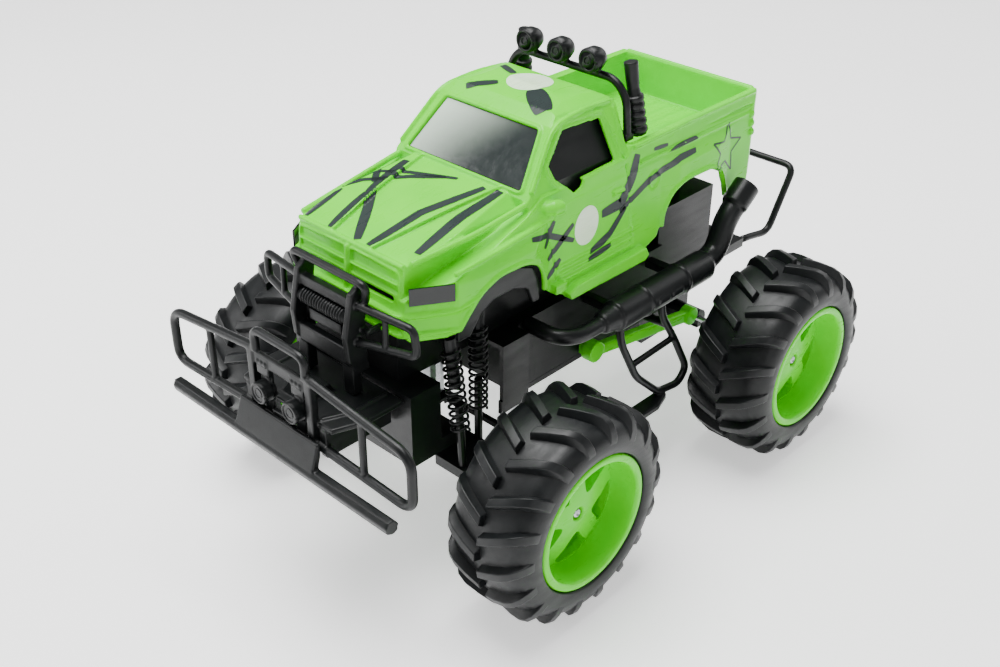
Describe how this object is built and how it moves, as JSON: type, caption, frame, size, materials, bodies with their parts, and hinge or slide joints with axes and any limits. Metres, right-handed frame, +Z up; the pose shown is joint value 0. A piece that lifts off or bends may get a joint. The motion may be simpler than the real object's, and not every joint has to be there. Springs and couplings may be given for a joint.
{
  "type": "remote control car",
  "caption": "Lime-green pickup-bodied remote control monster truck on a lifted black chassis with big chevron tyres, tube bumpers, side exhausts and roof lamps.",
  "frame": {"origin": "on the ground under the middle of the truck's bounding box", "axes": "+Z up, the truck faces -Y, its left side is +X"},
  "size_m": [0.253, 0.4005, 0.2505],
  "materials": {
    "green_plastic": "glossy lime-green moulded plastic",
    "black_plastic": "satin black moulded plastic",
    "tyre": "soft black rubber",
    "smoked_window": "smoked clear plastic",
    "lamp_lens": "dark glossy plastic",
    "steel": "zinc-plated steel",
    "brass": "turned brass",
    "nylon_gear": "natural nylon",
    "battery_wrap": "shrink wrap",
    "board": "solder-masked board"
  },
  "bodies": {
    "chassis": {"body_shell": "green_plastic", "windshield": "smoked_window", "headlight_left": "lamp_lens", "headlight_right": "lamp_lens", "cab_interior": "black_plastic", "roof_bar": "black_plastic", "roof_lamp_left": "black_plastic", "roof_lamp_centre": "black_plastic", "roof_lamp_right": "black_plastic", "exhaust_stack_left": "black_plastic", "exhaust_stack_right": "black_plastic", "bull_bar": "black_plastic", "winch_drum": "black_plastic", "front_bumper": "black_plastic", "skid_plate": "black_plastic", "chassis": "black_plastic", "belly_plate": "black_plastic", "battery_pack": "battery_wrap", "circuit_board": "board", "wheel_arch_liner": "black_plastic", "side_exhaust_left": "black_plastic", "side_exhaust_right": "black_plastic", "side_bar_left": "black_plastic", "side_bar_right": "black_plastic", "link_bar_left": "green_plastic", "link_bar_right": "green_plastic", "rear_hoop": "black_plastic", "drive_motor": "steel", "rear_gearbox": "black_plastic", "front_shock_left": "black_plastic", "front_shock_right": "black_plastic", "front_spring_left": "steel", "front_spring_right": "steel", "upright_spring_left": "steel", "upright_spring_right": "steel"},
    "battery_door": {"battery_door": "black_plastic"},
    "power_switch": {"power_switch": "black_plastic"},
    "front_axle": {"front_axle_beam": "black_plastic", "steering_motor": "steel"},
    "steering_pinion": {"steering_pinion": "nylon_gear"},
    "tie_rod": {"tie_rod": "black_plastic"},
    "knuckle_left": {"steering_knuckle_left": "black_plastic"},
    "knuckle_right": {"steering_knuckle_right": "black_plastic"},
    "wheel_front_left": {"tyre_front_left": "tyre", "rim_front_left": "green_plastic", "wheel_screw_front_left": "steel"},
    "wheel_front_right": {"tyre_front_right": "tyre", "rim_front_right": "green_plastic", "wheel_screw_front_right": "steel"},
    "rear_wheels": {"rear_axle": "steel", "axle_gear": "nylon_gear", "tyre_rear_left": "tyre", "tyre_rear_right": "tyre", "rim_rear_left": "green_plastic", "rim_rear_right": "green_plastic", "wheel_screw_rear_left": "steel", "wheel_screw_rear_right": "steel"},
    "idler_gear": {"idler_gear": "nylon_gear"},
    "motor_pinion": {"motor_pinion": "brass"}
  },
  "joints": [
    {"name": "front_axle_rock", "type": "hinge", "parent": "chassis", "child": "front_axle", "pos_m": [0, -0.1015, 0.074], "axis": [0, 1, 0], "range_deg": [-4, 4], "stiffness_Nm_per_rad": 4, "deforming": ["front_spring_left", "front_spring_right", "upright_spring_left", "upright_spring_right"]},
    {"name": "steer_left", "type": "hinge", "parent": "front_axle", "child": "knuckle_left", "pos_m": [0.084, -0.1015, 0.06], "axis": [0, 0, 1], "range_deg": [-20, 20]},
    {"name": "steer_right", "type": "hinge", "parent": "front_axle", "child": "knuckle_right", "pos_m": [-0.084, -0.1015, 0.06], "axis": [0, 0, 1], "range_deg": [-20, 20]},
    {"name": "tie_rod_slide", "type": "slide", "parent": "front_axle", "child": "tie_rod", "axis": [1, 0, 0], "range_m": [-0.0053, 0.0053]},
    {"name": "steering_pinion_turn", "type": "hinge", "parent": "front_axle", "child": "steering_pinion", "pos_m": [0, -0.09595, 0.072], "axis": [0, 0, 1], "range_deg": [-48.5, 48.5]},
    {"name": "spin_front_left", "type": "hinge", "parent": "knuckle_left", "child": "wheel_front_left", "pos_m": [0.1005, -0.1015, 0.06], "axis": [1, 0, 0], "continuous": true},
    {"name": "spin_front_right", "type": "hinge", "parent": "knuckle_right", "child": "wheel_front_right", "pos_m": [-0.1005, -0.1015, 0.06], "axis": [1, 0, 0], "continuous": true},
    {"name": "spin_rear", "type": "hinge", "parent": "chassis", "child": "rear_wheels", "pos_m": [0, 0.0935, 0.06], "axis": [1, 0, 0], "continuous": true},
    {"name": "idler_spin", "type": "hinge", "parent": "chassis", "child": "idler_gear", "pos_m": [0, 0.0805, 0.07546], "axis": [1, 0, 0], "continuous": true},
    {"name": "motor_spin", "type": "hinge", "parent": "chassis", "child": "motor_pinion", "pos_m": [0.004, 0.0745, 0.09211], "axis": [1, 0, 0], "continuous": true},
    {"name": "switch_slide", "type": "slide", "parent": "chassis", "child": "power_switch", "axis": [1, 0, 0], "range_m": [0, 0.0025]},
    {"name": "battery_door_hinge", "type": "hinge", "parent": "chassis", "child": "battery_door", "pos_m": [0, -0.04, 0.075], "axis": [1, 0, 0], "range_deg": [-80, 0]}
  ],
  "couplings": [
    {"joint": "steer_right", "follows": "steer_left", "ratio": 1},
    {"joint": "tie_rod_slide", "follows": "steer_left", "m_per_rad": -0.015},
    {"joint": "steering_pinion_turn", "follows": "steer_left", "ratio": 2.4},
    {"joint": "idler_spin", "follows": "spin_rear", "ratio": -3},
    {"joint": "motor_spin", "follows": "spin_rear", "ratio": 7.5}
  ]
}
